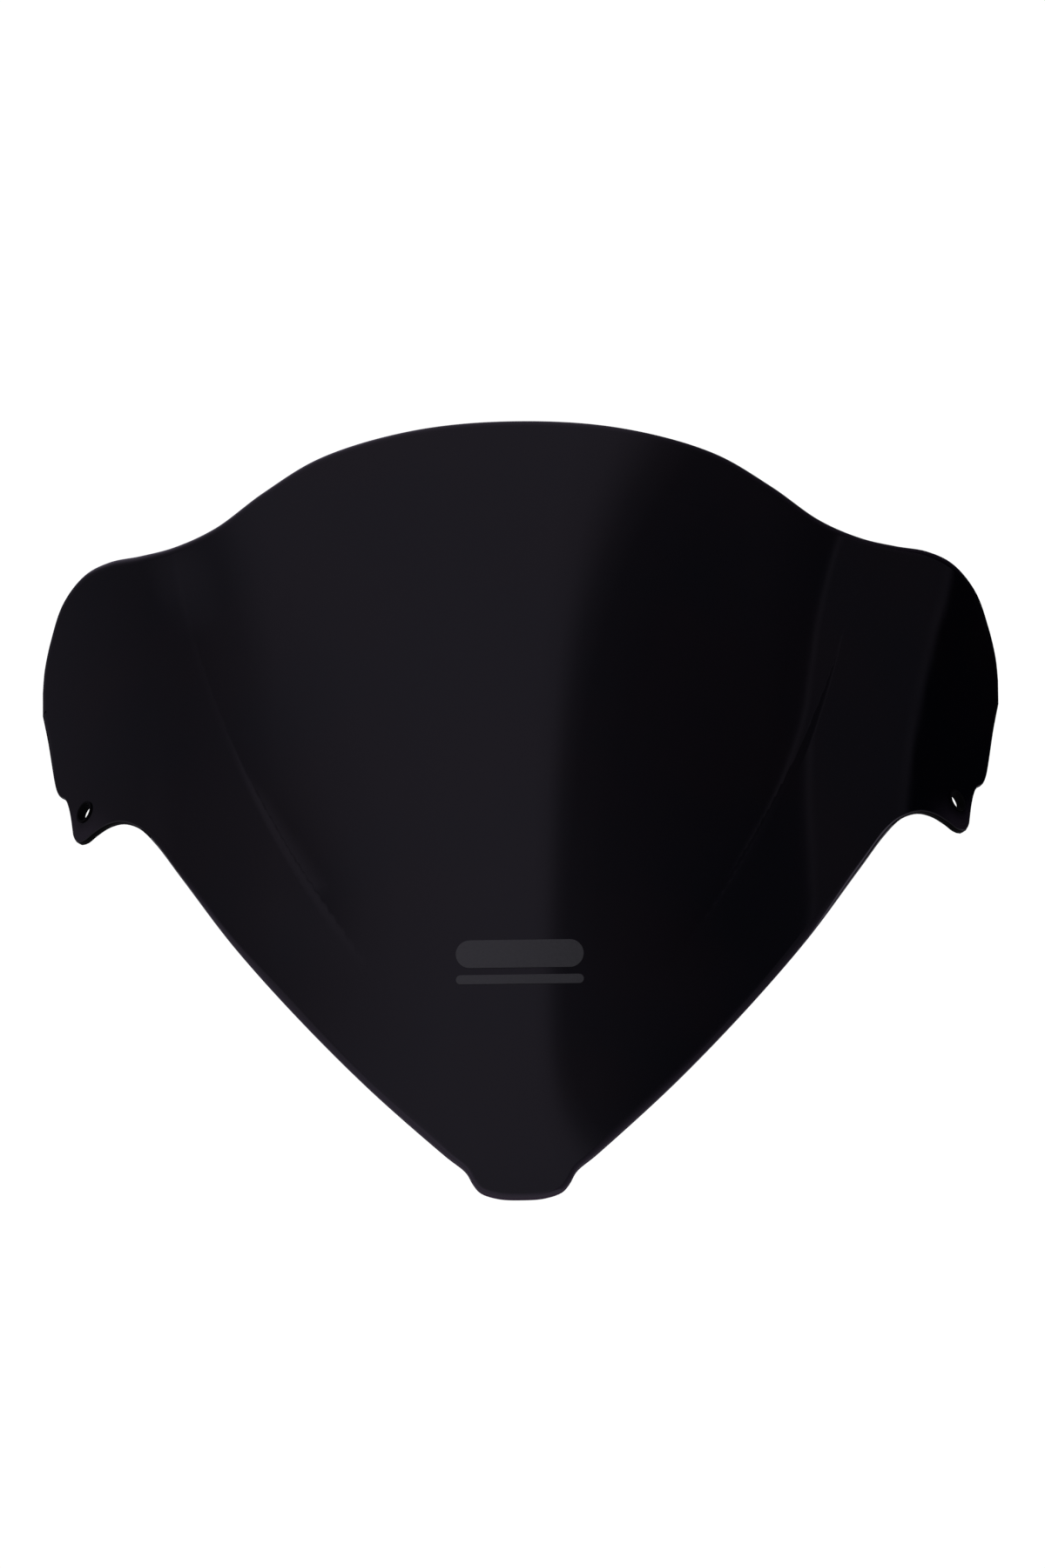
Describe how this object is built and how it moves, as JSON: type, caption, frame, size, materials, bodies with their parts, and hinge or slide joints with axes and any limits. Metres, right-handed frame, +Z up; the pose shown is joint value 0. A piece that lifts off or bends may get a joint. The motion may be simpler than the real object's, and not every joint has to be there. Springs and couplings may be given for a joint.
{
  "type": "motorcycle windshield screen",
  "caption": "Dark smoke motorcycle windshield screen, a domed sheet with curled side wings, drilled fixing ears with rubber grommets and a lower tongue.",
  "frame": {"origin": "middle of the tongue's lower edge, at the front of the sheet", "axes": "+X across the motorcycle to the right as seen from the front, +Y back to the rider, +Z up; the sheet leans back as it does in use"},
  "size_m": [0.418, 0.3117, 0.34],
  "materials": {
    "smoked_acrylic": "polished, nearly opaque dark smoke",
    "rubber": "matt black moulded rubber",
    "badge_ink": "satin dark grey film"
  },
  "bodies": {
    "root": {"screen": "smoked_acrylic", "left_grommet": "rubber", "right_grommet": "rubber", "badge": "badge_ink"}
  },
  "joints": []
}
